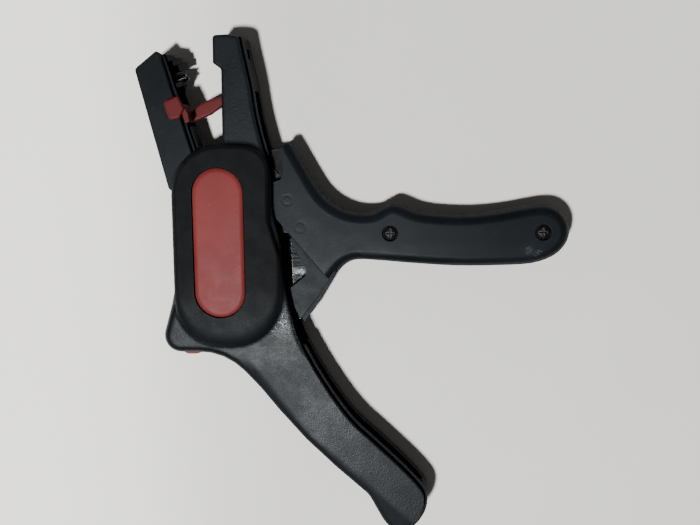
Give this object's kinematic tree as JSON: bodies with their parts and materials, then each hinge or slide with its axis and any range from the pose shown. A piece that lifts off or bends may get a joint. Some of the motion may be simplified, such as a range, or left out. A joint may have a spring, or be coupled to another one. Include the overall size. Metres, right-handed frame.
{
  "type": "wire stripper",
  "caption": "Pistol-form automatic wire stripper with two upright jaws, a sliding length stop, a squeeze grip with a side cutter, and a red oval inlay.",
  "frame": {"origin": "centre of the bounding box's underside, with the tool lying on its rear side", "axes": "+Z out of the front face, +Y along the fixed jaw towards its tip, +X towards the movable grip"},
  "size_m": [0.1603, 0.1896, 0.022],
  "materials": {
    "charcoal": "moulded satin, dark blue-black",
    "red": "moulded satin, muted red",
    "black": "moulded, black",
    "black_steel": "blackened steel, satin",
    "bright_steel": "ground and polished steel",
    "spring_steel": "bare spring wire"
  },
  "bodies": {
    "housing": {"housing_front_shell": "charcoal", "housing_rear_shell": "charcoal", "front_inlay": "red", "rear_inlay": "red", "housing_tip_screw": "black_steel", "housing_heel_screw": "black_steel", "housing_middle_screw": "black_steel", "housing_end_screw": "black_steel", "jaw_pivot_pin": "bright_steel", "lever_pivot_pin": "bright_steel", "fixed_clamp": "black_steel", "fixed_cutter_blade": "bright_steel", "jaw_opening_spring": "spring_steel", "grip_return_spring": "spring_steel"},
    "moving_jaw": {"moving_jaw": "charcoal", "moving_clamp": "black", "clamp_pin": "bright_steel"},
    "blade_carriage": {"blade_carriage": "black", "carriage_pin": "bright_steel", "moving_blade": "bright_steel"},
    "length_stop": {"length_stop": "red"},
    "pull_rod": {"pull_rod": "black_steel", "rod_blade": "bright_steel"},
    "grip": {"handle_lever": "black_steel", "cam_pin": "bright_steel", "drive_pin": "bright_steel", "grip_front_shell": "charcoal", "grip_rear_shell": "charcoal", "grip_inner_screw": "black_steel", "grip_outer_screw": "black_steel", "front_cutter_guard": "charcoal", "rear_cutter_guard": "charcoal", "cutter_blade": "bright_steel"},
    "depth_adjuster": {"depth_adjuster": "red"}
  },
  "joints": [
    {"name": "grip_swing", "type": "hinge", "parent": "housing", "child": "grip", "pos_m": [-0.046, 0.022, 0.011], "axis": [0, 0, -1], "range_deg": [0, 35], "stiffness_Nm_per_rad": 0.9, "springref_deg": -14.32, "deforming": ["grip_return_spring"]},
    {"name": "jaw_swing", "type": "hinge", "parent": "housing", "child": "moving_jaw", "pos_m": [-0.058, 0.0279, 0.011], "axis": [0, 0, -1], "range_deg": [0, 17.2], "deforming": ["jaw_opening_spring"]},
    {"name": "carriage_slide", "type": "slide", "parent": "moving_jaw", "child": "blade_carriage", "axis": [0.299, -0.9542, 0], "range_m": [0, 0.0067]},
    {"name": "stop_slide", "type": "slide", "parent": "blade_carriage", "child": "length_stop", "axis": [-0.299, 0.9542, 0], "range_m": [0, 0.006]},
    {"name": "rod_slide", "type": "slide", "parent": "housing", "child": "pull_rod", "axis": [0, -1, 0], "range_m": [0, 0.0076]},
    {"name": "depth_slide", "type": "slide", "parent": "housing", "child": "depth_adjuster", "axis": [1, 0, 0], "range_m": [-0.001, 0.002]}
  ],
  "couplings": [
    {"joint": "jaw_swing", "follows": "grip_swing", "ratio": 0.48571},
    {"joint": "rod_slide", "follows": "grip_swing", "m_per_rad": 0.012307},
    {"joint": "carriage_slide", "follows": "grip_swing", "m_per_rad": 0.010804}
  ]
}
